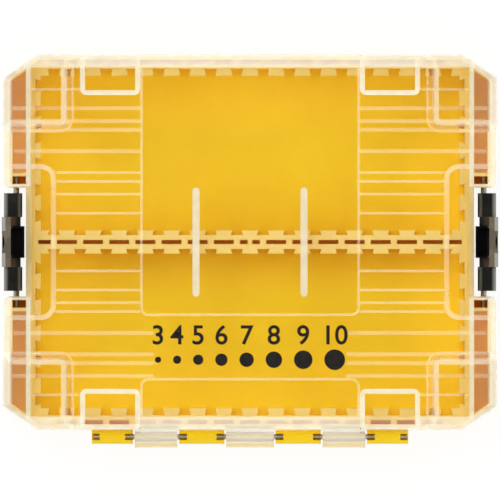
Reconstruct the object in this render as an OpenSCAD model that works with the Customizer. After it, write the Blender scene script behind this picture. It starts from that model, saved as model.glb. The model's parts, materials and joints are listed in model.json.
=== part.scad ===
// Drill bit case with a hinged clear lid, toothed bit rails and two side latches.
// Millimetres. The origin is the middle of the underside, +Z up, hinge along -Y.

/* [Case] */
// Width over the corners, along X
case_w = 240.6; // [225:0.2:260]
// Depth of the body without the hinge, along Y
case_d = 183; // [170:0.5:200]
// Height of the base, up to the parting line
base_h = 30; // [27:0.5:40]
// Height of the lid, over its raised pads
lid_h = 25; // [22:0.5:32]
// Corner cut, measured along X
corner_cut_x = 17.2; // [14:0.1:22]
// Corner cut, measured along Y
corner_cut_y = 11.4; // [9:0.1:16]
// Width of the hollow side flange beside the main wall
flange_w = 11.8; // [10.5:0.1:13]
// How far the side flange stands back from the corners
flange_step = 1.2; // [0.5:0.1:2]
// Distance from the middle at which the corners begin
corner_start_y = 57; // [52:0.5:64]
// Half the length of the latch notch
notch_half = 26.4; // [25.5:0.1:30]
// Rounding of the upright corners
corner_r = 2.4; // [1:0.1:3]
// Chamfer along the top and bottom edges
edge_chamfer = 2.4; // [1:0.1:3]
// Draft of the outer walls from the parting line to the chamfer
wall_draft = 0.8; // [0.2:0.1:1.5]
// Gap between the rims of the closed base and lid
rim_gap = 0.3; // [0.2:0.05:0.5]

/* [Base] */
// Thickness of the floor
floor_t = 2.5; // [2:0.1:4]
// Thickness of the main walls
wall_t = 3; // [2.6:0.1:3.4]
// Thickness of the side flange's outer wall
flange_wall = 3.8; // [2.8:0.1:4.4]
// Thickness of the walls across the side flange
flange_web = 1.7; // [1.2:0.1:2.4]
// Depth of the stacking recesses in the underside
stack_depth = 1.2; // [0.6:0.1:1.5]
// Clearance round a raised pad that sits in a stacking recess
stack_clear = 0.6; // [0.3:0.1:1]

/* [Bit rails] */
// Distance from tooth to tooth
tooth_pitch = 12.7; // [11.5:0.1:14]
// Width of a tooth at its face
tooth_face = 8.2; // [7:0.1:9.5]
// Width of a tooth at its root
tooth_root = 6.7; // [5:0.1:7]
// How far a tooth stands out from its wall
tooth_depth = 2.2; // [1.5:0.1:2.8]
// How far a tooth of the long rails stands out from its wall
long_tooth_depth = 3.4; // [2:0.1:3.8]
// Thickness of the walls of the centre and long rails
rail_wall = 2.4; // [1.6:0.1:2.8]
// How far a tooth of the side rails stands out from its wall
side_tooth_depth = 2.6; // [1.8:0.1:3]
// Thickness of a side rail's wall, and of the centre rail's end walls
side_rail_wall = 1.3; // [0.8:0.1:2]
// Slot between the walls of the centre and long rails
rail_slot = 2; // [1.2:0.1:2.6]
// Thickness of the webs across the slots
slot_web = 3; // [2:0.1:4]
// Thickness of the web in the middle of the centre rail
middle_web = 2.1; // [1.5:0.1:3]
// Height of the rails over the floor
rail_h = 24.5; // [18:0.5:24.5]

/* [Lid] */
// Thickness of the lid's walls
lid_wall = 2.2; // [1.6:0.1:2.6]
// Thickness of the lid's top
lid_t = 2.2; // [1.6:0.1:2.6]
// Height of the raised pads over the field
pad_rise = 2.6; // [1.5:0.1:3.2]
// Height of the middle panels over the field
panel_rise = 0.8; // [0.4:0.1:1.4]
// Half the width of the middle panels
panel_half = 53.2; // [48:0.1:56]
// Lower edge of the upper panel
panel_end_y = -35.8; // [-40:0.1:-32]
// Upper edge of the lower panel
label_end_y = -65.8; // [-70:0.1:-62]
// Rounding of the panels' inner corners
panel_r = 4; // [2:0.1:6]
// Length of an edge pad, along X
edge_pad_w = 29.1; // [24:0.1:30]
// Depth of an edge pad, along Y
edge_pad_d = 20.4; // [15:0.1:22]
// Rounding of the edge pads
edge_pad_r = 3; // [1.5:0.1:4]
// Thickness of the wall round an edge pad
pad_wall = 2.4; // [1.6:0.1:3]
// How far that wall reaches below the lid's top
pad_wall_drop = 7; // [3:0.5:9]
// Distance from the middle to a corner pad, along X
corner_pad_x = 90; // [87:0.1:94]
// Distance from the middle to a corner pad, along Y
corner_pad_y = 57.6; // [55:0.1:62]
// Width of the slope beside a corner pad
pad_slope = 4.5; // [2:0.1:5]
// Rounding of a corner pad's inner corner
corner_pad_r = 2.5; // [1:0.1:4]
// Distance from the middle to the latch recess, along X
recess_x = 96.4; // [94:0.1:98]
// Half the length of the latch recess
recess_half = 35.4; // [34.5:0.1:38]
// Thickness of the wall round the latch recess
recess_wall = 2.4; // [1.6:0.1:3]
// Depth of the latch recess
recess_drop = 3; // [1:0.1:4]
// Rounding of the latch recess
recess_r = 5; // [2:0.1:7]
// Thickness of the fine ribs under the lid
fine_rib_t = 1.2; // [0.6:0.1:1.4]
// Thickness of the wide ribs under the lid
wide_rib_t = 1.9; // [1:0.1:2.2]
// Depth of the fine ribs under the lid
fine_rib_drop = 2.2; // [1.6:0.1:2.8]
// Depth of the wide ribs under the lid
wide_rib_drop = 1.4; // [0.8:0.1:3]
// Thickness of the walls under the corner pads
corner_wall_t = 1.4; // [1:0.1:2.2]
// Depth of the walls under the corner pads and round the latch recesses
contour_drop = 4; // [2:0.1:5]
// Width of the ledge under the lid's front edge, with the wall
ledge_w = 6.8; // [5:0.1:8]
// Depth of the ledge under the lid's front edge
ledge_drop = 3.6; // [2:0.1:5]
// Depth of the slope along the middle of the lid's front edge
slope_d = 3.2; // [1.5:0.1:3.4]
// Height of the slope along the middle of the lid's front edge
slope_h = 6.6; // [3:0.1:7]
// Distance from the middle to the rib that each group is laid out from
rib_middle_y = 44; // [43:0.1:46]
// Distance from that rib to the first rib beside it
rib_step_1 = 10.35; // [9.5:0.05:11]
// Distance from that rib to the second rib beside it
rib_step_2 = 14.6; // [13.5:0.1:16]
// Distance from that rib to the third rib beside it
rib_step_3 = 20.8; // [19:0.1:22.5]
// Distance from that rib to the fourth rib beside it
rib_step_4 = 30; // [28:0.5:31.5]
// Half the width of the label field between the panels
label_half = 46.5; // [42:0.5:50]
// Distance from the middle to a hold-down bar
bar_x = 26.2; // [22:0.1:30]
// Thickness of a hold-down bar
bar_t = 3.4; // [2.4:0.1:4.4]
// Length of a hold-down bar
bar_len = 53; // [40:0.5:60]
// Gap between a hold-down bar and the rails below it
bar_gap = 6; // [4:0.5:9]
// Radius of the moulding mark on the upper panel
gate_r = 1.7; // [1:0.1:2.5]
// Height of the moulding mark over the panel
gate_rise = 0.3; // [0.2:0.05:0.5]
// Distance from the middle to the moulding mark
gate_y = 48.3; // [44:0.1:54]

/* [Hinge] */
// Distance from the back wall to the hinge's axis
hinge_out = 3.1; // [3:0.1:4.2]
// Radius of the hinge rod
rod_r = 1.25; // [1:0.05:1.5]
// Running clearance round the rod
rod_clear = 0.08; // [0.05:0.01:0.1]
// Radius of the base's knuckles
base_knuckle_r = 3.4; // [3:0.05:4]
// Radius of the lid's knuckles
lid_knuckle_r = 5.2; // [4.6:0.1:5.4]
// Gap between neighbouring knuckles
knuckle_gap = 0.8; // [0.5:0.1:1.2]
// Clearance round a knuckle that turns beside a wall
knuckle_clear = 0.35; // [0.3:0.05:0.5]
// Length of the lid's middle knuckle
middle_knuckle = 23.2; // [18:0.1:26]
// Length of the base's inner knuckles
inner_knuckle = 22; // [18:0.1:24]
// Length of the lid's outer knuckles
outer_lid_knuckle = 20.8; // [18:0.1:23]
// Length of the base's outer knuckles
outer_base_knuckle = 20; // [18:0.1:22]
// Length of the window at each end of a base knuckle
rod_window = 3.8; // [2:0.1:4.5]
// Gap beside the rod in those windows
rod_window_gap = 0.35; // [0.1:0.05:0.6]
// How far the rod stops short of the outer knuckles' ends
rod_short = 0.6; // [0.3:0.1:1.5]

/* [Latches] */
// Distance from the latch pins to the flange's outer face
pin_in = 5.5; // [5.2:0.1:6]
// Height of the latch pins
pin_z = 20; // [14:0.5:22]
// Radius of the latch pins
pin_r = 1.42; // [1.2:0.02:1.6]
// Running clearance of a latch on its pins
pin_clear = 0.08; // [0.05:0.01:0.1]
// Half the length of a latch
latch_half = 23.7; // [22:0.1:24.5]
// Half the length of the middle lever
lever_half = 12.1; // [11:0.1:14]
// Half the length of the hook block
hook_half = 7.7; // [6:0.1:8.5]
// Wall thickness of the latches
latch_wall = 2; // [1.4:0.1:2.4]
// Radius of the latch's pin barrels
barrel_r = 2.9; // [2.6:0.1:3.2]
// How far a latch's top reaches over the pins
latch_reach = 22; // [16:0.5:24]
// Height of the middle lever over the latch's arms
lever_rise = 2; // [1:0.1:3]
// Height of the hook block
hook_h = 8; // [6:0.5:10]
// How far the latch's arms stand out from the flange
arm_stand = 0.2; // [0:0.1:0.8]
// How far the latch's arms reach in from the pins
arm_reach = 2.4; // [2:0.1:2.8]
// Thickness of the arms' end walls
arm_end_wall = 1.6; // [1:0.1:2]
// Depth of the lip along the lever's top
lip_d = 4.3; // [3.6:0.1:5]
// Height of the lip along the lever's top
lip_h = 3; // [2:0.1:4]
// How far the lid's catch stands out from the notch wall
catch_out = 0.6; // [0.3:0.1:1]
// Clearance between the hook and the lid's catch
hook_clear = 0.3; // [0.25:0.05:0.5]
// Half the length of the thumb recess
thumb_half = 4.2; // [3:0.1:6]
// Depth of the thumb recess
thumb_depth = 1.3; // [0.8:0.1:1.8]
// Length of the window over each pin's outer end
window_len = 3.8; // [3:0.1:5]
// How far a pin reaches into a latch's barrel
pin_in_barrel = 9; // [5:0.5:10]

/* [Hidden] */

$fn = 48;
eps = 0.05;
round_fn = 24;

base_yellow = "#f2c21f";
clear_lid = [0.93, 0.9, 0.84, 0.45];
steel = "#a9a9a4";
black = "#26261f";

half_w = case_w / 2;
half_d = case_d / 2;
top_z = base_h + lid_h;
lid_z = base_h + rim_gap;
field_z = top_z - pad_rise;
ceiling_z = field_z - lid_t;
recess_z = field_z - recess_drop;
panel_z = field_z + panel_rise;

notch_x = half_w - flange_w;
flange_x = half_w - flange_step;
room_x = notch_x - wall_t;
room_y = half_d - wall_t;

rail_z = floor_t + rail_h;
centre_rail_face = rail_slot / 2 + rail_wall + tooth_depth;
long_rail_face_y = room_y - rail_slot - rail_wall - long_tooth_depth;
side_rail_face_x = room_x - side_rail_wall;
side_rail_tooth_x = side_rail_face_x - side_tooth_depth;
last_tooth_x = floor((side_rail_face_x - tooth_pitch / 2) / tooth_pitch);
last_tooth_y = floor((long_rail_face_y - tooth_root / 2) / tooth_pitch);

edge_pad_x = panel_half + edge_pad_w / 2;
edge_pad_y = half_d - edge_pad_d / 2;
fine_rib_steps = [-rib_step_4, -rib_step_3, -rib_step_2, -rib_step_1];
wide_rib_steps = [0, rib_step_1, rib_step_2, rib_step_3];

hinge_y = -half_d - hinge_out;
hinge_z = base_h;
wall_bite = 1;
inner_start = middle_knuckle / 2 + knuckle_gap;
outer_lid_start = inner_start + inner_knuckle + knuckle_gap;
outer_base_start = outer_lid_start + outer_lid_knuckle + knuckle_gap;
hinge_half = outer_base_start + outer_base_knuckle;

pin_x = flange_x - pin_in;
catch_x = notch_x + catch_out;
hook_x = catch_x + hook_clear;
latch_top = pin_z + latch_reach;
lever_top = latch_top + lever_rise;
arm_out = flange_x + arm_stand;
arm_in = pin_x - arm_reach;
lever_out = half_w;
thumb_r = (thumb_half ^ 2 + thumb_depth ^ 2) / (2 * thumb_depth);
plate_in = lever_out - lip_d;
window_start = notch_half + flange_web;
window_end = window_start + window_len;
pin_end_y = window_end + flange_web;

// Draws its children in all four quarters of the plan.
module in_quarters() {
    for (side = [0, 1], end = [0, 1])
        mirror([side, 0, 0])
            mirror([0, end, 0])
                children();
}

// One quarter of the case's outline, with the latch notch and the cut corner.
module quarter_outline() {
    polygon([
        [0, 0],
        [notch_x, 0],
        [notch_x, notch_half],
        [flange_x, notch_half],
        [flange_x, corner_start_y - flange_step],
        [half_w, corner_start_y],
        [half_w, half_d - corner_cut_y],
        [half_w - corner_cut_x, half_d],
        [0, half_d]
    ]);
}

// The whole outline with rounded upright corners, drawn in by inset.
module outline(inset = 0) {
    offset(r = corner_r, $fn = round_fn)
        offset(delta = -corner_r - inset)
            in_quarters()
                quarter_outline();
}

// The outline without its latch notches, drawn in by inset.
module plain_outline(inset) {
    offset(delta = -inset)
        in_quarters()
            polygon([
                [0, 0],
                [half_w, 0],
                [half_w, half_d - corner_cut_y],
                [half_w - corner_cut_x, half_d],
                [0, half_d]
            ]);
}

// One thin level of the drafted body.
module body_level(z, inset) {
    translate([0, 0, z])
        linear_extrude(eps)
            plain_outline(inset);
}

// Block that holds the whole case, widest at the parting line.
module drafted_body() {
    hull() {
        body_level(0, wall_draft + edge_chamfer);
        body_level(edge_chamfer, wall_draft);
        body_level(base_h, 0);
        body_level(top_z - edge_chamfer, wall_draft);
        body_level(top_z - eps, wall_draft + edge_chamfer);
    }
}

// The room inside the tub's main walls, with its cut corners.
module room_plan() {
    intersection() {
        square([2 * room_x, 2 * room_y], center = true);
        offset(delta = -wall_t)
            in_quarters()
                quarter_outline();
    }
}

// One dovetail groove between two teeth, cut into a face at y = 0 from above it.
module groove(depth) {
    mouth = (tooth_pitch - tooth_face) / 2;
    root = (tooth_pitch - tooth_root) / 2;
    polygon([
        [-mouth, eps],
        [-root, -depth],
        [root, -depth],
        [mouth, eps]
    ]);
}

// A centred rectangle with rounded corners.
module rounded_plate(size, r) {
    offset(r = r, $fn = round_fn)
        square([size[0] - 2 * r, size[1] - 2 * r], center = true);
}

// The tub's side pocket and the window cell over a latch pin's end, one quarter.
module flange_pockets() {
    intersection() {
        offset(delta = -flange_wall)
            in_quarters()
                quarter_outline();
        translate([notch_x, pin_end_y])
            square([flange_w, half_d - wall_t - pin_end_y]);
    }
    translate([notch_x, window_start])
        square([flange_x - flange_wall - notch_x, window_len]);
}

// Cross section of a knuckle and its arm, in the plane square to the hinge.
// The arm goes down to the base's wall, or up to the lid's with up = 1.
module knuckle_section(r, up) {
    k = r * cos(45);
    reach = hinge_out + wall_bite;
    circle(r = r);
    mirror([0, up])
        polygon([
            [-k, -k],
            [0, 0],
            [reach, 0],
            [reach, -reach - 2 * k]
        ]);
}

// A knuckle from x = start over length, on the hinge's axis.
module knuckle(start, length, r, up) {
    translate([start, hinge_y, hinge_z])
        rotate([90, 0, 90])
            linear_extrude(length)
                knuckle_section(r, up);
}

// A round bar or cutter along the hinge's axis.
module hinge_bar(start, length, r) {
    translate([start, hinge_y, hinge_z])
        rotate([0, 90, 0])
            cylinder(r = r, h = length);
}

// Windows at both ends of a base knuckle, which show the rod from above.
module rod_windows(start, length) {
    half = rod_r + rod_window_gap;
    for (x = [start - eps, start + length - rod_window])
        translate([x, hinge_y - half, hinge_z])
            cube([rod_window + eps, 2 * half, base_knuckle_r + eps]);
}

module base_knuckles() {
    for (side = [0, 1])
        mirror([side, 0, 0]) {
            knuckle(inner_start, inner_knuckle, base_knuckle_r, 0);
            knuckle(outer_base_start, outer_base_knuckle, base_knuckle_r, 0);
        }
}

module base_knuckle_cuts() {
    for (side = [0, 1])
        mirror([side, 0, 0]) {
            rod_windows(inner_start, inner_knuckle);
            rod_windows(outer_base_start, outer_base_knuckle);
        }
    hinge_bar(-hinge_half - eps, 2 * hinge_half + 2 * eps, rod_r + rod_clear);
}

// Room in the base's rim for the lid's knuckles.
module lid_knuckle_room() {
    r = lid_knuckle_r + knuckle_clear;
    hinge_bar(-middle_knuckle / 2 - knuckle_gap, middle_knuckle + 2 * knuckle_gap, r);
    for (side = [0, 1])
        mirror([side, 0, 0])
            hinge_bar(outer_lid_start - knuckle_gap, outer_lid_knuckle + 2 * knuckle_gap, r);
}

// Room in the lid's rim for the base's knuckles.
module base_knuckle_room() {
    r = base_knuckle_r + knuckle_clear;
    for (side = [0, 1])
        mirror([side, 0, 0]) {
            hinge_bar(inner_start - knuckle_gap, inner_knuckle + 2 * knuckle_gap, r);
            hinge_bar(outer_base_start - knuckle_gap, outer_base_knuckle + 2 * knuckle_gap, r);
        }
}

// Recesses in the underside that take the raised pads of a case below.
module stacking_recesses() {
    in_quarters() {
        translate([edge_pad_x, edge_pad_y, -eps])
            linear_extrude(stack_depth + eps)
                rounded_plate([edge_pad_w + 2 * stack_clear, edge_pad_d + 2 * stack_clear], edge_pad_r);
        translate([0, 0, -eps])
            linear_extrude(stack_depth + eps)
                translate([corner_pad_x - stack_clear, corner_pad_y - stack_clear])
                    square([half_w, half_d]);
    }
}

module base_tub() {
    color(base_yellow)
        difference() {
            union() {
                difference() {
                    intersection() {
                        linear_extrude(base_h)
                            outline();
                        drafted_body();
                    }
                    lid_knuckle_room();
                }
                base_knuckles();
            }
            translate([0, 0, floor_t])
                linear_extrude(base_h)
                    room_plan();
            translate([0, 0, floor_t])
                linear_extrude(base_h)
                    in_quarters()
                        flange_pockets();
            stacking_recesses();
            base_knuckle_cuts();
            in_quarters()
                latch_pin_bar(pin_r);
        }
}

// A row of slots along X, one behind each tooth up to the last, with webs between them.
module slot_row(y, width, last) {
    for (n = [-last : last])
        translate([n * tooth_pitch, y])
            square([tooth_pitch - slot_web, width], center = true);
}

// A row of grooves along X, cut into a face at height y of the plan.
module groove_row(y, depth) {
    for (n = [-last_tooth_x - 1 : last_tooth_x])
        translate([(n + 0.5) * tooth_pitch, y])
            groove(depth);
}

// Centre rail: two walls with teeth on both outer sides and webs between them.
module centre_rail() {
    color(base_yellow)
        translate([0, 0, floor_t])
            linear_extrude(rail_h)
                difference() {
                    square([2 * side_rail_face_x, 2 * centre_rail_face], center = true);
                    for (side = [0, 1])
                        mirror([0, side])
                            groove_row(centre_rail_face, tooth_depth);
                    difference() {
                        intersection() {
                            slot_row(0, rail_slot, last_tooth_x + 1);
                            square([2 * (side_rail_face_x - side_rail_wall), rail_slot], center = true);
                        }
                        square([middle_web, 2 * rail_slot], center = true);
                    }
                }
}

// Long rail along the front wall: one toothed wall, tied to the tub's wall by webs.
module long_rail() {
    translate([0, 0, floor_t])
        linear_extrude(rail_h)
            difference() {
                intersection() {
                    room_plan();
                    translate([-side_rail_face_x, long_rail_face_y])
                        square([2 * side_rail_face_x, half_d]);
                }
                mirror([0, 1])
                    groove_row(-long_rail_face_y, long_tooth_depth);
                slot_row(room_y - rail_slot / 2, rail_slot, last_tooth_x);
            }
}

// Side rail along the right wall, cut away where the other rails meet it.
module side_rail() {
    translate([0, 0, floor_t])
        linear_extrude(rail_h)
            difference() {
                intersection() {
                    room_plan();
                    translate([side_rail_tooth_x, -half_d])
                        square([half_w, 2 * half_d]);
                }
                for (n = [-last_tooth_y : last_tooth_y])
                    translate([side_rail_tooth_x, n * tooth_pitch])
                        rotate(90)
                            groove(side_tooth_depth);
                square([2 * side_rail_face_x, 2 * centre_rail_face], center = true);
                for (end = [0, 1])
                    mirror([0, end])
                        translate([0, long_rail_face_y])
                            square([side_rail_face_x, half_d]);
            }
}

module front_rail() {
    color(base_yellow)
        long_rail();
}

module back_rail() {
    color(base_yellow)
        mirror([0, 1, 0])
            long_rail();
}

module side_rail_left() {
    color(base_yellow)
        mirror([1, 0, 0])
            side_rail();
}

module side_rail_right() {
    color(base_yellow)
        side_rail();
}

// One raised corner pad with its slope, one quarter.
module corner_pad() {
    hull() {
        corner_level(top_z - eps, 0);
        corner_level(field_z - eps, pad_slope);
    }
}

module corner_level(z, spread) {
    translate([0, 0, z])
        linear_extrude(eps)
            corner_plan(spread);
}

// Plan of a corner pad, grown inwards by spread with its corner kept concentric.
module corner_plan(spread) {
    r = max(corner_pad_r + spread, eps);
    translate([corner_pad_x - spread + r, corner_pad_y - spread + r])
        offset(r = r, $fn = round_fn)
            square([half_w, half_d]);
}

// The two raised middle panels, with the label field left between them.
module panels() {
    translate([-panel_half, panel_end_y + panel_r])
        square([2 * panel_half, half_d - panel_end_y]);
    offset(r = panel_r, $fn = round_fn)
        translate([-panel_half + panel_r, panel_end_y + panel_r])
            square([2 * (panel_half - panel_r), half_d]);
    translate([-panel_half, -half_d])
        square([2 * panel_half, half_d + label_end_y - panel_r]);
    offset(r = panel_r, $fn = round_fn)
        translate([-panel_half + panel_r, -2 * half_d])
            square([2 * (panel_half - panel_r), 2 * half_d + label_end_y - panel_r]);
}

// The latch recess on the right, grown inwards by grow.
module recess_plan(grow) {
    offset(r = recess_r + grow, $fn = round_fn)
        translate([recess_x + recess_r, -recess_half + recess_r])
            square([half_w, 2 * (recess_half - recess_r)]);
}

// The solid outside of the lid, before it is hollowed.
module lid_outside() {
    intersection() {
        drafted_body();
        union() {
            translate([0, 0, lid_z])
                linear_extrude(field_z - lid_z)
                    outline();
            intersection() {
                linear_extrude(top_z)
                    outline();
                union() {
                    translate([0, 0, field_z - eps])
                        linear_extrude(panel_rise + eps)
                            panels();
                    in_quarters()
                        translate([edge_pad_x, edge_pad_y, field_z - eps])
                            linear_extrude(pad_rise + eps)
                                rounded_plate([edge_pad_w, edge_pad_d], edge_pad_r);
                    in_quarters()
                        corner_pad();
                    translate([0, gate_y, panel_z - eps])
                        cylinder(r = gate_r, h = gate_rise + eps);
                }
            }
        }
    }
}

// The hollow under the lid's top, lower under the latch recesses.
module lid_hollow() {
    difference() {
        translate([0, 0, lid_z - eps])
            linear_extrude(ceiling_z - lid_z + eps)
                outline(lid_wall);
        for (side = [0, 1])
            mirror([side, 0, 0])
                translate([0, 0, recess_z - lid_t])
                    linear_extrude(lid_h)
                        recess_plan(recess_wall);
    }
    in_quarters()
        translate([edge_pad_x, edge_pad_y, ceiling_z - eps])
            linear_extrude(pad_rise + eps)
                intersection() {
                    square([edge_pad_w - 2 * pad_wall, edge_pad_d - 2 * pad_wall], center = true);
                    translate([0, -wall_draft])
                        square([edge_pad_w, edge_pad_d - 2 * pad_wall], center = true);
                }
    translate([0, 0, ceiling_z - eps])
        linear_extrude(pad_rise + eps)
            intersection() {
                outline(lid_wall + wall_draft + edge_chamfer);
                in_quarters()
                    translate([corner_pad_x + lid_wall, corner_pad_y + lid_wall])
                        square([half_w, half_d]);
            }
}

// A rib under the lid's top at height y of the plan, from x = start to end.
module lid_rib(start, end, y, thickness, drop) {
    translate([start, y - thickness / 2, ceiling_z - drop])
        cube([end - start, thickness, drop + eps]);
}

// Extrudes a plan down from the lid's ceiling, inside the lid's walls.
module hanging(drop) {
    translate([0, 0, ceiling_z - drop])
        linear_extrude(drop + eps)
            intersection() {
                outline(lid_wall / 2);
                children();
            }
}

// Ribs along the edges of the middle panels.
module panel_ribs() {
    hanging(fine_rib_drop)
        difference() {
            panels();
            offset(delta = -fine_rib_t)
                panels();
        }
}

// Walls under the inner edges of the corner pads, and ribs along their slopes.
module corner_walls() {
    hanging(contour_drop)
        in_quarters()
            difference() {
                corner_plan(0);
                corner_plan(-corner_wall_t);
            }
    hanging(fine_rib_drop)
        in_quarters()
            difference() {
                corner_plan(pad_slope);
                corner_plan(pad_slope - fine_rib_t);
            }
}

// Walls round the latch recesses, which stand down below the recessed top.
module recess_walls() {
    hanging(recess_drop + contour_drop)
        for (side = [0, 1])
            mirror([side, 0])
                difference() {
                    recess_plan(recess_wall);
                    recess_plan(0);
                }
}

// Ledge that stiffens the lid's front edge, left out inside the edge pads.
module front_ledge() {
    hanging(ledge_drop)
        difference() {
            translate([-corner_pad_x, half_d - ledge_w])
                square([2 * corner_pad_x, ledge_w]);
            in_quarters()
                translate([panel_half, 0])
                    square([edge_pad_w, half_d]);
        }
}

// Cuts the slope along the middle of the lid's front edge.
module front_slope() {
    translate([-panel_half, 0, 0])
        rotate([90, 0, 90])
            linear_extrude(2 * panel_half)
                polygon([
                    [half_d, panel_z - slope_h],
                    [half_d - slope_d, panel_z + eps],
                    [half_d + slope_d, panel_z + eps],
                    [half_d + slope_d, panel_z - slope_h]
                ]);
}

module fine_rib(start, end, y) {
    lid_rib(start, end, y, fine_rib_t, fine_rib_drop);
}

module wide_rib(start, end, y) {
    lid_rib(start, end, y, wide_rib_t, wide_rib_drop);
}

module lid_ribs() {
    rib_end = flange_x - lid_wall;
    for (side = [0, 1])
        mirror([side, 0, 0]) {
            for (end = [0, 1])
                mirror([0, end, 0]) {
                    for (step = fine_rib_steps)
                        fine_rib(panel_half, recess_x, rib_middle_y + step);
                    fine_rib(edge_pad_x + edge_pad_w / 2, room_x, rib_middle_y + rib_step_4);
                }
            for (step = wide_rib_steps) {
                wide_rib(panel_half, rib_end, rib_middle_y + step);
                wide_rib(label_half, rib_end, -rib_middle_y - step);
            }
        }
}

// Walls that stand down round the edge pads.
module pad_walls() {
    in_quarters()
        intersection() {
            translate([edge_pad_x, edge_pad_y, ceiling_z - pad_wall_drop])
                linear_extrude(pad_wall_drop + eps)
                    difference() {
                        rounded_plate([edge_pad_w, edge_pad_d], edge_pad_r);
                        square([edge_pad_w - 2 * pad_wall, edge_pad_d - 2 * pad_wall], center = true);
                    }
            linear_extrude(top_z)
                outline(lid_wall / 2);
        }
}

// Walls that close the lid's room against its side flanges.
module flange_walls() {
    in_quarters()
        intersection() {
            translate([notch_x - lid_wall, 0, lid_z])
                cube([lid_wall, half_d, ceiling_z - lid_z + eps]);
            difference() {
                linear_extrude(top_z)
                    outline(lid_wall / 2);
                translate([0, 0, recess_z - lid_t / 2])
                    linear_extrude(lid_h)
                        recess_plan(lid_wall / 2);
            }
        }
}

module lid_knuckles() {
    knuckle(-middle_knuckle / 2, middle_knuckle, lid_knuckle_r, 1);
    for (side = [0, 1])
        mirror([side, 0, 0])
            knuckle(outer_lid_start, outer_lid_knuckle, lid_knuckle_r, 1);
}

// Windows in the lid's flange ends, over the outer ends of the latch pins.
module lid_windows() {
    in_quarters()
        translate([notch_x, window_start, lid_z - eps])
            cube([flange_x - flange_wall - notch_x, window_len, lid_h]);
}

// The catch that a latch's hook snaps over, on the lid's notch wall.
module lid_catch() {
    translate([notch_x - eps, -hook_half + hook_clear, latch_top - hook_h])
        cube([catch_out + eps, 2 * (hook_half - hook_clear), latch_wall]);
}

module lid_shell() {
    color(clear_lid)
        difference() {
            union() {
                difference() {
                    lid_outside();
                    lid_hollow();
                    for (side = [0, 1])
                        mirror([side, 0, 0])
                            translate([0, 0, recess_z])
                                linear_extrude(lid_h)
                                    recess_plan(0);
                }
                lid_ribs();
                panel_ribs();
                corner_walls();
                recess_walls();
                front_ledge();
                pad_walls();
                flange_walls();
                for (side = [0, 1])
                    mirror([side, 0, 0])
                        lid_catch();
                lid_knuckles();
            }
            base_knuckle_room();
            hinge_bar(-hinge_half - eps, 2 * hinge_half + 2 * eps, rod_r + rod_clear);
            lid_windows();
            front_slope();
        }
}

// A bar under the lid that keeps the contents down on the centre rail.
module lid_bar() {
    bar_z = rail_z + bar_gap;
    color(clear_lid)
        translate([bar_x, 0, bar_z])
            linear_extrude(ceiling_z - bar_z) {
                square([bar_t, bar_len - bar_t], center = true);
                for (end = [-1, 1])
                    translate([0, end * (bar_len - bar_t) / 2])
                        circle(r = bar_t / 2);
            }
}

module lid_bar_left() {
    mirror([1, 0, 0])
        lid_bar();
}

module lid_bar_right() {
    lid_bar();
}

module hinge_rod() {
    color(steel)
        hinge_bar(-hinge_half + rod_short, 2 * (hinge_half - rod_short), rod_r);
}

// A round bar where the right front latch pin lies.
module latch_pin_bar(r) {
    translate([pin_x, latch_half - pin_in_barrel, pin_z])
        rotate([-90, 0, 0])
            cylinder(r = r, h = pin_end_y - latch_half + pin_in_barrel);
}

// Side view of an arm's end wall: the barrel and the web above it.
module arm_end() {
    circle(r = barrel_r);
    translate([arm_in - pin_x, 0])
        square([arm_out - arm_in, latch_reach]);
}

// Side view of the arm's skin: outer plate and top cap.
module arm_skin() {
    translate([arm_out - latch_wall - pin_x, -latch_wall / 2])
        square([latch_wall, latch_reach + latch_wall / 2]);
    translate([arm_in - pin_x, latch_reach - latch_wall])
        square([arm_out - arm_in, latch_wall]);
    circle(r = barrel_r);
    translate([0, -latch_wall / 2])
        square([arm_out - pin_x, latch_wall]);
}

// Side view of the middle lever: thick lip at the top, plate below.
module lever_section() {
    bottom = -latch_wall / 2;
    polygon([
        [arm_out - latch_wall - pin_x, bottom],
        [arm_out - pin_x, bottom],
        [lever_out - pin_x, latch_reach / 2],
        [lever_out - pin_x, latch_reach + lever_rise - thumb_depth],
        [lever_out - pin_x - thumb_depth, latch_reach + lever_rise],
        [plate_in - pin_x, latch_reach + lever_rise],
        [plate_in - pin_x, latch_reach + lever_rise - lip_h],
        [lever_out - latch_wall - pin_x, latch_reach + lever_rise - 2 * lip_h]
    ]);
}

// Moves a side view into place and gives it a length along Y from start.
module along_latch(start, length) {
    translate([pin_x, start + length, pin_z])
        rotate([90, 0, 0])
            linear_extrude(length)
                children();
}

// The hook block: four walls round a deep pocket that is open at the top.
module hook_block() {
    wall = latch_wall / 2;
    z = lever_top - hook_h;
    difference() {
        translate([hook_x, -hook_half, z])
            cube([plate_in + eps - hook_x, 2 * hook_half, hook_h]);
        translate([hook_x + wall, -hook_half + wall, z + latch_wall])
            cube([plate_in - hook_x - wall, 2 * (hook_half - wall), hook_h]);
    }
    translate([plate_in - wall, -hook_half, z])
        cube([lever_out - latch_wall / 2 - plate_in + wall, 2 * hook_half, latch_wall]);
}

// Top of the lever between the hook block and the arms, one side.
module lever_wing() {
    along_latch(hook_half - latch_wall / 2, lever_half - hook_half + latch_wall / 2)
        translate([arm_in - pin_x, latch_reach - latch_wall])
            square([plate_in - arm_in + eps, latch_wall]);
}

module latch() {
    color(black)
        difference() {
            union() {
                for (end = [0, 1])
                    mirror([0, end, 0]) {
                        along_latch(lever_half, latch_half - lever_half)
                            arm_skin();
                        for (y = [lever_half, latch_half - arm_end_wall])
                            along_latch(y, arm_end_wall)
                                arm_end();
                        lever_wing();
                    }
                along_latch(-lever_half, 2 * lever_half)
                    lever_section();
                hook_block();
            }
            in_quarters()
                latch_pin_bar(pin_r + pin_clear);
            translate([lever_out - thumb_depth + thumb_r, 0, latch_top - hook_h])
                cylinder(r = thumb_r, h = lever_top);
        }
}

module latch_right() {
    latch();
}

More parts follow.
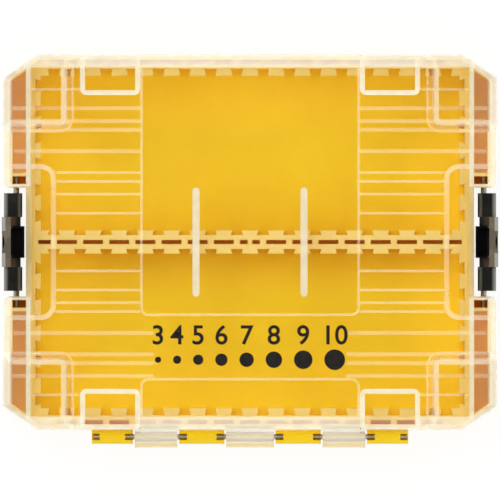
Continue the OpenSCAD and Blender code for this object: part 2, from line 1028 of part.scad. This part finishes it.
module latch_left() {
    mirror([1, 0, 0])
        latch();
}

module latch_pin_right_front() {
    color(steel)
        latch_pin_bar(pin_r);
}

module latch_pin_right_back() {
    color(steel)
        mirror([0, 1, 0])
            latch_pin_bar(pin_r);
}

module latch_pin_left_front() {
    color(steel)
        mirror([1, 0, 0])
            latch_pin_bar(pin_r);
}

module latch_pin_left_back() {
    color(steel)
        mirror([1, 0, 0])
            mirror([0, 1, 0])
                latch_pin_bar(pin_r);
}

base_tub();
centre_rail();
front_rail();
back_rail();
side_rail_left();
side_rail_right();
lid_shell();
lid_bar_left();
lid_bar_right();
hinge_rod();
latch_left();
latch_right();
latch_pin_left_front();
latch_pin_left_back();
latch_pin_right_front();
latch_pin_right_back();
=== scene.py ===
"""Looks of the drill bit case: materials, the printed size gauge, the studio and the camera."""
import json
import math

import bpy
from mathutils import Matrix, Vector


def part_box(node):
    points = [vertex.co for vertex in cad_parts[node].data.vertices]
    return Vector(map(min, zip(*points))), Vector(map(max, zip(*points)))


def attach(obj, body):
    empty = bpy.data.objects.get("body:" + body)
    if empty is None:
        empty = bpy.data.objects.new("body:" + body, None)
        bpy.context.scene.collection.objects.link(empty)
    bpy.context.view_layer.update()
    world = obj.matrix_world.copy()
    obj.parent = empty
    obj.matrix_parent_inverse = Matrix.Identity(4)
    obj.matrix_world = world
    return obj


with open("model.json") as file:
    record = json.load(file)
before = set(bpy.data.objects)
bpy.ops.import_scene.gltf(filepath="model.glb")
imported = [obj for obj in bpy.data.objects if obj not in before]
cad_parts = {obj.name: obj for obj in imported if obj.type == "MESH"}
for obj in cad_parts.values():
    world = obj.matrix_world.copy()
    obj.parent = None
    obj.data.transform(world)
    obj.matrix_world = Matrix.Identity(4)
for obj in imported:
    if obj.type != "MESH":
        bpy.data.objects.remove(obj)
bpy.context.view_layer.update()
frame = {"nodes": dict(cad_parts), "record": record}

MM = 0.001

# The photograph's frame, in pixels, and the scale at the lid's top.
PHOTO_PX = 500
MM_PER_PX = 0.484
BODY_CENTRE_PX = (250, 242)
CAMERA_DISTANCE = 8.0
SENSOR_WIDTH = 36.0


def linear(red, green, blue):
    """A colour written as it shows on screen, 0 to 255, as Blender's linear values."""

    def one(value):
        value = value / 255
        return value / 12.92 if value <= 0.04045 else ((value + 0.055) / 1.055) ** 2.4

    return (one(red), one(green), one(blue), 1.0)


# ---------------------------------------------------------------- node helpers


class Nodes:
    """A material's node tree with short calls for the nodes used here."""

    def __init__(self, name):
        self.material = bpy.data.materials.new(name)
        self.material.use_nodes = True
        self.tree = self.material.node_tree
        self.tree.nodes.clear()
        self.output = self.add("ShaderNodeOutputMaterial")

    def add(self, kind, **inputs):
        node = self.tree.nodes.new(kind)
        for key, value in inputs.items():
            node.inputs[key].default_value = value
        return node

    def link(self, source, target):
        self.tree.links.new(source, target)

    def feed(self, socket, value):
        """Sets a socket to a number or a colour, or links it to another socket."""
        if isinstance(value, (int, float, tuple)):
            socket.default_value = value
        else:
            self.link(value, socket)

    def place(self, stretch):
        """Object coordinates in metres, stretched along each axis."""
        coordinates = self.add("ShaderNodeTexCoord")
        mapping = self.add("ShaderNodeMapping")
        mapping.inputs["Scale"].default_value = stretch
        self.link(coordinates.outputs["Object"], mapping.inputs["Vector"])
        return mapping.outputs["Vector"]

    def axes(self, space):
        """The three parts of a texture coordinate: "Object" in metres, or "Normal"."""
        split = self.add("ShaderNodeSeparateXYZ")
        self.link(self.add("ShaderNodeTexCoord").outputs[space], split.inputs[0])
        return split.outputs

    def noise(self, scale, detail=3.0, stretch=(1, 1, 1)):
        node = self.add("ShaderNodeTexNoise", Scale=scale, Detail=detail)
        self.link(self.place(stretch), node.inputs["Vector"])
        return node.outputs["Fac"]

    def ramp(self, value, low, high, from_low=0.35, from_high=0.65):
        """Goes from low to high while value goes from from_low to from_high, and no further.
        Left out, these are where most of a noise lies."""
        node = self.add("ShaderNodeMapRange")
        node.inputs["From Min"].default_value = from_low
        node.inputs["From Max"].default_value = from_high
        node.inputs["To Min"].default_value = low
        node.inputs["To Max"].default_value = high
        self.link(value, node.inputs["Value"])
        return node.outputs["Result"]

    def blend(self, factor, first, second):
        """A colour between first and second."""
        node = self.add("ShaderNodeMix")
        node.data_type = "RGBA"
        self.feed(node.inputs["Factor"], factor)
        sockets = {socket.identifier: socket for socket in node.inputs}
        self.feed(sockets["A_Color"], first)
        self.feed(sockets["B_Color"], second)
        return [o for o in node.outputs if o.identifier == "Result_Color"][0]

    def maths(self, operation, first, second=0.0):
        node = self.add("ShaderNodeMath")
        node.operation = operation
        self.feed(node.inputs[0], first)
        self.feed(node.inputs[1], second)
        return node.outputs[0]

    def product(self, result, *factors):
        for factor in factors:
            result = self.maths("MULTIPLY", result, factor)
        return result

    def greatest(self, result, *values):
        for value in values:
            result = self.maths("MAXIMUM", result, value)
        return result

    def distance(self, value):
        """A coordinate's distance from the middle."""
        return self.maths("ABSOLUTE", value)

    def over(self, value, limit):
        """1 where a distance from the middle is greater than limit."""
        return self.maths("GREATER_THAN", self.distance(value), limit)

    def under(self, value, limit):
        """1 where a distance from the middle is less than limit."""
        return self.maths("LESS_THAN", self.distance(value), limit)

    def between(self, value, low, high):
        """1 where a distance from the middle is between low and high."""
        return self.product(self.over(value, low), self.under(value, high))

    def bump(self, height, strength, distance):
        node = self.add("ShaderNodeBump", Strength=strength, Distance=distance)
        self.link(height, node.inputs["Height"])
        return node.outputs["Normal"]

    def mixed(self, factor, first, second):
        """A shader between first and second."""
        mix = self.add("ShaderNodeMixShader")
        self.link(factor, mix.inputs["Fac"])
        self.link(first, mix.inputs[1])
        self.link(second, mix.inputs[2])
        return mix.outputs["Shader"]

    def shadow_mix(self, seen, for_shadows):
        """One shader as seen, and another that says how much light passes on."""
        rays = self.add("ShaderNodeLightPath")
        return self.mixed(rays.outputs["Is Shadow Ray"], seen, for_shadows)

    def finish(self, shader):
        self.link(shader, self.output.inputs["Surface"])
        return self.material


# ------------------------------------------------- where the case's forms lie

# Distances from the middle along X and Y, and heights above the underside. Two values are where
# a form starts and ends, or where one look begins to change and where it has changed.

# The base. Its hinge knuckles stand out past the long walls.
BASE_RIM_Z = (24 * MM, 27 * MM)
LONG_WALL_Y = (91.1 * MM, 91.5 * MM)
POCKET_X = (108.6 * MM, 115.4 * MM)
POCKET_Y = 33.6 * MM
RAIL_SLOT_X = 103 * MM
RAIL_SLOT_Y = (86.3 * MM, 88.6 * MM)
FLOOR_X = 104 * MM
FLOOR_Y = (3 * MM, 86 * MM)
FLOOR_Z = 3 * MM
NEAR_SIDE_WALL_X = (70 * MM, 102 * MM)
NEAR_LONG_WALL_Y = (50 * MM, 80 * MM)

# The lid. Its corners are cut: CUT_DIRECTION points straight out of a cut, and CUT_EDGE is how
# far along it the cut's bevel starts.
KNUCKLE_Y = (91.6 * MM, 92 * MM)
RIB_END_Z = (43 * MM, 50 * MM)
LID_TOP_Z = (48 * MM, 52 * MM)
RECESS_X = 96.3 * MM
RECESS_Y = 35.5 * MM
RECESS_CEILING_Z = (46.9 * MM, 47.0 * MM)
RECESS_WALL_X = 93.6 * MM
RECESS_WALL_Y = 38.2 * MM
RECESS_WALL_Z = (34 * MM, 35 * MM)
RECESS_CORNER_Y = (22 * MM, 33 * MM)
NOTCH_X = 105 * MM
NOTCH_Y = 27 * MM
SIDE_EDGE_X = 116 * MM
LONG_EDGE_Y = 88 * MM
CUT_DIRECTION = (0.5525, 0.8336)
CUT_EDGE = 129.6 * MM
FLANGE_X = (107.5 * MM, 108.5 * MM)
FLANGE_WALL_X = (114.6 * MM, 116.4 * MM)
LEDGE_Y = (84.2 * MM, 85.2 * MM)
LEDGE_END_Y = 91.4 * MM
EDGE_PAD_X = (53.2 * MM, 81 * MM)

# From the back half to the front half, along Y itself.
BACK_TO_FRONT_Y = (-1 * MM, 1 * MM)

# The latches: a lever with a hook in its middle and a thumb lip outside, between two arms.
LATCH_TOP_Z = (38 * MM, 43.5 * MM)
HOOK_X = 115 * MM
HOOK_Y = 7.8 * MM
LEVER_Y = 12.2 * MM
THUMB_Y = 5.4 * MM
WING_X = (112.8 * MM, 115.4 * MM)
LIP_X = 115.7 * MM
LIP_EDGE_X = (118.3 * MM, 118.9 * MM)
ARM_OUTER_X = (117.1 * MM, 118.8 * MM)
ARM_INNER_X = (112.0 * MM, 112.9 * MM)

# The upward part of a face's normal, where one kind of face gives way to the next.
FACES_DOWN = (-0.9, -0.6)
STANDS_UPRIGHT = (0.2, 0.3)
LIES_FLAT = (0.93, 0.97)


# ------------------------------------------------------------------- materials

# How strongly the painted glow shows inside: an emission that stands in for light seeping through
# the yellow walls.
PAINTED_SEEP_GLOW = 0.13

# A painted glow on the milky parts of the clear plastic, standing in for light that it gathers and
# lets out at its edges; least at the lid's top.
PAINTED_EDGE_GLOW = 0.17
PAINTED_TOP_GLOW = 0.02


def moulded_yellow():
    """Satin yellow polypropylene: faint grain and flow marks, a painted pale sheen on the rims for
    reflected light, and light that seeps through the walls, partly as a painted glow.
    """
    n = Nodes("moulded_yellow")
    shader = n.add("ShaderNodeBsdfPrincipled")
    shader.inputs["IOR"].default_value = 1.45
    shader.inputs["Specular IOR Level"].default_value = 0.3
    flow = n.ramp(n.noise(14.0, 4.0, (1, 1.6, 1)), 0.0, 1.0)
    colour = n.blend(flow, linear(240, 200, 10), linear(246, 208, 16))
    x, y, z = n.axes("Object")
    # Painted sheen: the rims' tops are blended towards pale cream, standing in for overhead light
    # reflected off them.
    rim_painted_sheen = n.ramp(z, 0.0, 1.0, *BASE_RIM_Z)
    within_walls = n.ramp(n.distance(y), 1.0, 0.0, *LONG_WALL_Y)
    colour = n.blend(n.product(rim_painted_sheen, within_walls, 0.6), colour, linear(250, 228, 165))
    n.link(colour, shader.inputs["Base Color"])
    n.link(n.ramp(n.noise(90.0, 3.0), 0.36, 0.5), shader.inputs["Roughness"])
    n.link(n.bump(n.noise(2600.0, 2.0), 0.12, 0.05 * MM), shader.inputs["Normal"])
    # Painted glow: the yellow gives out light in its pockets, its rail slots and on the floor near
    # the walls.
    tint, glow = seeping_light(n, x, y, z)
    n.link(tint, shader.inputs["Emission Color"])
    n.link(glow, shader.inputs["Emission Strength"])
    passing = n.add("ShaderNodeBsdfTransparent")
    passing.inputs["Color"].default_value = (0.85, 0.56, 0.14, 1.0)
    return n.finish(n.shadow_mix(shader.outputs["BSDF"], passing.outputs["BSDF"]))


def seeping_light(n, x, y, z):
    """Colour and strength of a painted glow, an emission that stands in for light seeping into the
    side pockets, the slots of the long rails and the floor near the walls, and lifts their shade."""
    pocket = n.product(n.between(x, *POCKET_X), n.over(y, POCKET_Y))
    slot = n.product(n.between(y, *RAIL_SLOT_Y), n.under(x, RAIL_SLOT_X))
    near_walls = n.greatest(
        n.ramp(n.distance(x), 0.0, 1.0, *NEAR_SIDE_WALL_X),
        n.ramp(n.distance(y), 0.0, 1.0, *NEAR_LONG_WALL_Y),
    )
    floor = n.product(
        near_walls, n.under(x, FLOOR_X), n.between(y, *FLOOR_Y), n.under(z, FLOOR_Z)
    )
    tint = n.blend(floor, linear(245, 180, 56), linear(236, 212, 50))
    glow = n.greatest(n.product(pocket, 0.9), n.product(slot, 0.3), n.product(floor, 1.5))
    return tint, n.product(glow, n.ramp(z, PAINTED_SEEP_GLOW, 0.0, *BASE_RIM_Z))


def clear_plastic():
    """Clear polycarbonate: refracts, with haze and scratches. Edges seen end on get a painted
    milky whiteness and a painted glow, standing in for light caught in them.
    """
    n = Nodes("clear_plastic")
    clear = n.add("ShaderNodeBsdfPrincipled")
    clear.inputs["IOR"].default_value = 1.4
    clear.inputs["Specular IOR Level"].default_value = 0.35
    clear.inputs["Transmission Weight"].default_value = 1.0
    haze = n.ramp(n.noise(30.0, 3.0), 0.0, 1.0)
    n.link(n.blend(haze, linear(253, 250, 244), linear(255, 254, 250)), clear.inputs["Base Color"])
    n.link(n.ramp(n.noise(60.0, 4.0), 0.02, 0.07), clear.inputs["Roughness"])
    scratches = n.noise(160.0, 6.0, (0.08, 3.0, 1.0))
    n.link(n.bump(scratches, 0.03, 0.02 * MM), clear.inputs["Normal"])

    x, y, z = n.axes("Object")
    # Painted whiteness: a milky shader, lit and glowing, stands in for light caught in the lid's
    # edges.
    milky = n.add("ShaderNodeBsdfPrincipled")
    cloud = n.ramp(n.noise(220.0, 4.0), 0.0, 1.0)
    milk = n.blend(cloud, linear(246, 242, 220), linear(252, 251, 238))
    knuckles = n.ramp(n.distance(y), 0.0, 0.8, *KNUCKLE_Y)
    n.link(n.blend(knuckles, milk, linear(222, 217, 205)), milky.inputs["Base Color"])
    n.link(n.ramp(n.noise(80.0, 3.0), 0.3, 0.45), milky.inputs["Roughness"])
    # Painted glow: the milky parts give out light, less towards the lid's top.
    milky.inputs["Emission Color"].default_value = linear(248, 250, 240)
    n.link(n.ramp(z, PAINTED_EDGE_GLOW, PAINTED_TOP_GLOW, *LID_TOP_Z), milky.inputs["Emission Strength"])
    amount = milkiness(n, x, y, z)
    mix = n.mixed(amount, clear.outputs["BSDF"], milky.outputs["BSDF"])

    passing = n.add("ShaderNodeBsdfTransparent")
    shade = n.blend(amount, linear(253, 250, 244), linear(214, 190, 140))
    n.link(shade, passing.inputs["Color"])
    return n.finish(n.shadow_mix(mix, passing.outputs["BSDF"]))


def milkiness(n, x, y, z):
    """How milky the lid looks, a painted whiteness that stands in for light caught and refracted
    at the ends of its ribs and walls, its rim and its cut edges.
    """
    # The normal turns over where a face is seen from inside the plastic, and is turned back.
    inside = n.add("ShaderNodeNewGeometry").outputs["Backfacing"]
    up = n.product(n.axes("Normal")[2], n.ramp(inside, 1.0, -1.0, 0.0, 1.0))
    knuckles = n.ramp(n.distance(y), 1.0, 0.22, *KNUCKLE_Y)

    ends = n.product(n.ramp(up, 1.0, 0.0, *FACES_DOWN), n.ramp(z, 0.9, 0.0, *RIB_END_Z))
    ends = n.product(ends, away_from_recesses(n, x, y, z), knuckles)

    slant = n.product(n.ramp(up, 0.0, 1.0, *STANDS_UPRIGHT), n.ramp(up, 1.0, 0.0, *LIES_FLAT))
    slant = n.product(slant, outer_edge(n, x, y), 0.5, knuckles)
    upright = n.product(n.ramp(n.distance(up), 1.0, 0.0, *STANDS_UPRIGHT), 0.09)
    return n.greatest(ends, slant, upright, veil(n, x, y))


def away_from_recesses(n, x, y, z):
    """1 over most of the lid, less at the walls of the latch recesses and the notches' rims, and
    0 at the recesses' ceilings."""
    ceiling = n.product(n.over(x, RECESS_X), n.under(y, RECESS_Y))
    ceiling = n.product(ceiling, n.ramp(z, 0.0, 1.0, *RECESS_CEILING_Z))
    walls = n.product(n.over(x, RECESS_WALL_X), n.under(y, RECESS_WALL_Y))
    walls = n.product(walls, n.ramp(z, 0.0, 1.0, *RECESS_WALL_Z))
    notch = n.product(n.over(x, NOTCH_X), n.under(y, NOTCH_Y))
    lost = n.ramp(n.distance(y), 0.76, 0.56, *RECESS_CORNER_Y)
    lost = n.product(n.greatest(walls, notch), lost)
    return n.product(n.maths("SUBTRACT", 1.0, ceiling), n.maths("SUBTRACT", 1.0, lost))


def outer_edge(n, x, y):
    """1 along the lid's outer edges and its cut corners."""
    out_x = n.product(n.distance(x), CUT_DIRECTION[0])
    out_y = n.product(n.distance(y), CUT_DIRECTION[1])
    cut = n.maths("GREATER_THAN", n.maths("ADD", out_x, out_y), CUT_EDGE)
    return n.greatest(n.over(x, SIDE_EDGE_X), n.over(y, LONG_EDGE_Y), cut)


def veil(n, x, y):
    """Painted whiteness over the side flanges and their walls, the thick front and back edges, and
    the knuckles, standing in for light caught in them and lifting their shade. The long edges have
    most of it in the front pads and least in the back pads."""
    flange = n.ramp(n.distance(x), 0.0, 0.03, *FLANGE_X)
    flange_wall = n.ramp(n.distance(x), 0.0, 0.34, *FLANGE_WALL_X)
    ledge = n.product(n.ramp(n.distance(y), 0.0, 1.0, *LEDGE_Y), n.under(y, LEDGE_END_Y))
    pads = n.product(n.between(x, *EDGE_PAD_X), n.ramp(y, -0.26, 0.1, *BACK_TO_FRONT_Y))
    ledge = n.product(ledge, n.maths("ADD", pads, 0.33))
    knuckles = n.ramp(n.distance(y), 0.0, 0.28, *KNUCKLE_Y)
    return n.greatest(flange, flange_wall, ledge, knuckles)


def latch_black():
    """Black glass-filled nylon with a fine spark texture, greyer where it is handled, with painted
    shade in the hook, a painted reflection beside it and painted highlights on its lip and edges.
    """
    n = Nodes("latch_black")
    shader = n.add("ShaderNodeBsdfPrincipled")
    shader.inputs["Specular IOR Level"].default_value = 0.06
    worn = n.ramp(n.noise(120.0, 5.0), 0.0, 1.0, 0.45, 0.7)
    n.link(latch_colour(n, worn), shader.inputs["Base Color"])
    n.link(n.ramp(n.noise(70.0, 3.0), 0.38, 0.55), shader.inputs["Roughness"])
    n.link(n.bump(n.noise(3800.0, 2.0), 0.25, 0.06 * MM), shader.inputs["Normal"])
    return n.finish(shader.outputs["BSDF"])


def latch_colour(n, worn):
    """Black with random worn grey, painted shade deepest in the hook, a painted brown reflection
    of the yellow base beside it, a painted highlight on the lip and painted highlights at the
    edges.
    """
    x, y, z = n.axes("Object")
    across = n.distance(x)
    top = n.ramp(z, 0.0, 1.0, *LATCH_TOP_Z)
    beside_hook = n.between(y, HOOK_Y, LEVER_Y)
    arms = n.over(y, LEVER_Y)

    colour = n.blend(worn, linear(25, 26, 23), linear(39, 38, 34))
    # Painted shade: the hook's pocket is made nearly black, standing in for the deep shadow inside
    # it.
    hook_painted_shade = n.product(n.under(x, HOOK_X), n.under(y, HOOK_Y))
    colour = n.blend(hook_painted_shade, colour, linear(2, 1, 2))
    # Painted reflection: brown beside the hook stands in for the yellow base mirrored there.
    wing_painted_reflection = n.product(beside_hook, n.ramp(across, 0.0, 0.9, *WING_X), top)
    colour = n.blend(wing_painted_reflection, colour, linear(94, 74, 48))
    # Painted highlight, mottled by the wear noise: the lip's top is greyed for light reflected off
    # its sloped face.
    lip_painted_highlight = n.product(n.over(x, LIP_X), n.under(y, LEVER_Y), top, n.ramp(worn, 0.7, 1.0))
    colour = n.blend(lip_painted_highlight, colour, linear(112, 103, 87))

    # Painted highlights: pale grey along the outer edges of the arms and lip, where their rounded
    # edges catch the light.
    arm_edge_highlight = n.product(arms, n.ramp(across, 0.0, 1.0, *ARM_OUTER_X))
    lip_edge_highlight = n.product(
        n.between(y, THUMB_Y, LEVER_Y), n.ramp(across, 0.0, 1.0, *LIP_EDGE_X)
    )
    outer_painted_highlight = n.product(n.greatest(arm_edge_highlight, lip_edge_highlight), top)
    colour = n.blend(outer_painted_highlight, colour, linear(158, 157, 150))
    # Painted highlight along the arms' inner edges.
    inner_painted_highlight = n.product(arms, n.ramp(across, 1.0, 0.0, *ARM_INNER_X), top)
    return n.blend(inner_painted_highlight, colour, linear(92, 89, 76))


def drawn_steel():
    """Drawn steel rod with lines along its length."""
    n = Nodes("drawn_steel")
    shader = n.add("ShaderNodeBsdfPrincipled")
    shader.inputs["Metallic"].default_value = 1.0
    lines = n.noise(900.0, 4.0, (0.03, 1.0, 1.0))
    colour = n.blend(lines, linear(150, 148, 142), linear(190, 188, 182))
    n.link(colour, shader.inputs["Base Color"])
    n.link(n.ramp(lines, 0.25, 0.45), shader.inputs["Roughness"])
    n.link(n.bump(lines, 0.15, 0.02 * MM), shader.inputs["Normal"])
    return n.finish(shader.outputs["BSDF"])


def print_ink():
    """Black pad-printed ink, slightly uneven."""
    n = Nodes("print_ink")
    shader = n.add("ShaderNodeBsdfPrincipled")
    shader.inputs["Specular IOR Level"].default_value = 0.2
    uneven = n.ramp(n.noise(400.0, 4.0), 0.0, 1.0)
    n.link(n.blend(uneven, linear(18, 12, 10), linear(30, 24, 20)), shader.inputs["Base Color"])
    n.link(n.ramp(n.noise(260.0, 3.0), 0.5, 0.7), shader.inputs["Roughness"])
    n.link(n.bump(n.noise(1800.0, 2.0), 0.1, 0.01 * MM), shader.inputs["Normal"])
    return n.finish(shader.outputs["BSDF"])


def white_floor():
    """White floor: plain for the camera and in reflections, with the object's shadow kept.
    Seen from below it is clear, so that the underside shows."""
    n = Nodes("white_floor")
    cloth = n.add("ShaderNodeBsdfDiffuse")
    cloth.inputs["Color"].default_value = (0.9, 0.9, 0.9, 1)
    glow = n.add("ShaderNodeEmission")
    glow.inputs["Strength"].default_value = 1.03
    rays = n.add("ShaderNodeLightPath").outputs
    seen = n.greatest(
        rays["Is Camera Ray"], rays["Is Transmission Ray"], rays["Is Glossy Ray"]
    )
    white = n.mixed(n.product(seen, 0.85), cloth.outputs["BSDF"], glow.outputs["Emission"])
    below = n.add("ShaderNodeNewGeometry").outputs["Backfacing"]
    clear = n.add("ShaderNodeBsdfTransparent")
    return n.finish(n.mixed(below, white, clear.outputs["BSDF"]))


MATERIALS = {
    "base_yellow": moulded_yellow(),
    "clear_lid": clear_plastic(),
    "latch_black": latch_black(),
    "steel": drawn_steel(),
    "print_ink": print_ink(),
}

# How far the lid's bars are drawn in from its shell.
HAIR = 0.03 * MM


def dress_nodes():
    """Gives each CAD node the material of its slot in the record."""
    slots = {row["node"]: row["material_slot"] for row in frame["record"]["subparts"]}
    for name, node in frame["nodes"].items():
        node.data.materials.clear()
        node.data.materials.append(MATERIALS[slots[name]])
    for name in ("lid_bar_left", "lid_bar_right"):
        part_from_lid(frame["nodes"][name])


def part_from_lid(node):
    """Draws a clear bar in by a hair, because two clear faces in one plane render black."""
    hair = node.modifiers.new("hair", "DISPLACE")
    hair.mid_level = 0.0
    hair.strength = -HAIR


# ------------------------------------------------------------- the size gauge

# The drill sizes in millimetres, which the discs and the numbers both show.
GAUGE_SIZES = (3, 4, 5, 6, 7, 8, 9, 10)
GAUGE_WIDTH = 92 * MM
DISC_Y = -57 * MM
DISC_STEPS = 64
NUMBER_Y = -45.5 * MM
NUMBER_HEIGHT = 13 * MM
# How much a number's strokes are thickened, as a share of its height.
NUMBER_WEIGHT = 0.015
# How far the lid's pads stand over the field that bears the gauge, and the ink over the field.
PAD_RISE = 2.6 * MM
INK_RISE = 0.06 * MM


def add_piece(name, mesh):
    """A printed piece of the lid."""
    mesh.materials.clear()
    mesh.materials.append(MATERIALS["print_ink"])
    piece = bpy.data.objects.new(name, mesh)
    bpy.context.scene.collection.objects.link(piece)
    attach(piece, "lid")


def gauge_discs(places, y, z):
    """All the flat discs as one mesh. A place is a disc's middle along X and its size."""
    points = []
    for x, size in places:
        for step in range(DISC_STEPS):
            angle = 2 * math.pi * step / DISC_STEPS
            points.append((x + size / 2 * math.cos(angle), y + size / 2 * math.sin(angle), z))
    starts = range(0, len(points), DISC_STEPS)
    discs = [tuple(range(start, start + DISC_STEPS)) for start in starts]
    mesh = bpy.data.meshes.new("gauge_discs")
    mesh.from_pydata(points, [], discs)
    add_piece("gauge_discs", mesh)


def gauge_number(number, x, y, z, height):
    """A plain number as a flat mesh."""
    curve = bpy.data.curves.new("number", "FONT")
    curve.body = str(number)
    curve.size = height
    curve.align_x = "CENTER"
    curve.align_y = "CENTER"
    curve.offset = NUMBER_WEIGHT * height
    writing = bpy.data.objects.new("number", curve)
    mesh = bpy.data.meshes.new_from_object(writing)
    bpy.data.objects.remove(writing)
    for point in mesh.vertices:
        point.co = (point.co.x + x, point.co.y + y, z)
    add_piece("gauge_number_%d" % number, mesh)


def size_gauge():
    """Printed drill gauge: discs in rising sizes, each with its number above."""
    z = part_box("lid_shell")[1].z - PAD_RISE + INK_RISE
    sizes = [size * MM for size in GAUGE_SIZES]
    gap = (GAUGE_WIDTH - sum(sizes)) / (len(sizes) - 1)
    places = []
    edge = -GAUGE_WIDTH / 2
    for size in sizes:
        places.append((edge + size / 2, size))
        edge += size + gap
    gauge_discs(places, DISC_Y, z)
    for number, (x, size) in zip(GAUGE_SIZES, places):
        gauge_number(number, x, NUMBER_Y, z, NUMBER_HEIGHT)


# ------------------------------------------------------------------ the studio

FLOOR_REACH = 3.0
# A hair below the case's underside, so that the two don't share a plane.
FLOOR_LEVEL = -0.2 * MM
WORLD_STRENGTH = 0.87
# The dark patch overhead is full within the first angle from straight up and gone at the second.
PATCH_DEGREES = (14, 22)
PATCH_STRENGTH = 0.05


def studio():
    """The floor, the world and two soft lights."""
    corners = [(-1, -1), (1, -1), (1, 1), (-1, 1)]
    points = [(FLOOR_REACH * x, FLOOR_REACH * y, FLOOR_LEVEL) for x, y in corners]
    floor = bpy.data.meshes.new("floor")
    floor.from_pydata(points, [], [(0, 1, 2, 3)])
    floor_object = bpy.data.objects.new("floor", floor)
    bpy.context.scene.collection.objects.link(floor_object)
    floor.materials.append(white_floor())

    world = bpy.data.worlds.new("studio")
    bpy.context.scene.world = world
    world.use_nodes = True
    background = world.node_tree.nodes["Background"]
    background.inputs["Color"].default_value = (1, 1, 1, 1)
    dark_patch(world.node_tree, background)

    add_softbox("key", (-0.5, 0.7, 1.6), 1.2, 10.0)
    add_softbox("fill", (0.9, -0.6, 1.4), 1.4, 4.6)


def dark_patch(tree, background):
    """A dark patch straight overhead, so that the flat lid mirrors no light at the camera."""
    full, gone = (math.cos(math.radians(angle)) for angle in PATCH_DEGREES)
    coordinates = tree.nodes.new("ShaderNodeTexCoord")
    split = tree.nodes.new("ShaderNodeSeparateXYZ")
    tree.links.new(coordinates.outputs["Generated"], split.inputs[0])
    patch = tree.nodes.new("ShaderNodeMapRange")
    patch.inputs["From Min"].default_value = gone
    patch.inputs["From Max"].default_value = full
    patch.inputs["To Min"].default_value = WORLD_STRENGTH
    patch.inputs["To Max"].default_value = PATCH_STRENGTH
    tree.links.new(split.outputs["Z"], patch.inputs["Value"])
    tree.links.new(patch.outputs["Result"], background.inputs["Strength"])


def add_softbox(name, place, size, power):
    """A square soft light that faces the case."""
    lamp = bpy.data.lights.new(name, "AREA")
    lamp.shape = "SQUARE"
    lamp.size = size
    lamp.energy = power
    lamp_object = bpy.data.objects.new(name, lamp)
    lamp_object.location = place
    lamp_object.rotation_euler = (-Vector(place)).to_track_quat("-Z", "Y").to_euler()
    bpy.context.scene.collection.objects.link(lamp_object)


def camera():
    """Looks straight down at the lid, as the photograph does."""
    lens = bpy.data.cameras.new("camera")
    lens.sensor_width = SENSOR_WIDTH
    width = PHOTO_PX * MM_PER_PX * MM
    lens.lens = SENSOR_WIDTH * CAMERA_DISTANCE / width
    lens.clip_end = 30
    view = bpy.data.objects.new("camera", lens)
    lid_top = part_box("lid_shell")[1][2]
    aim_x = (PHOTO_PX / 2 - BODY_CENTRE_PX[0]) * MM_PER_PX * MM
    aim_y = (BODY_CENTRE_PX[1] - PHOTO_PX / 2) * MM_PER_PX * MM
    view.location = (aim_x, aim_y, lid_top + CAMERA_DISTANCE)
    bpy.context.scene.collection.objects.link(view)
    bpy.context.scene.camera = view


dress_nodes()
size_gauge()
studio()
camera()
bpy.context.scene.view_settings.view_transform = "Standard"
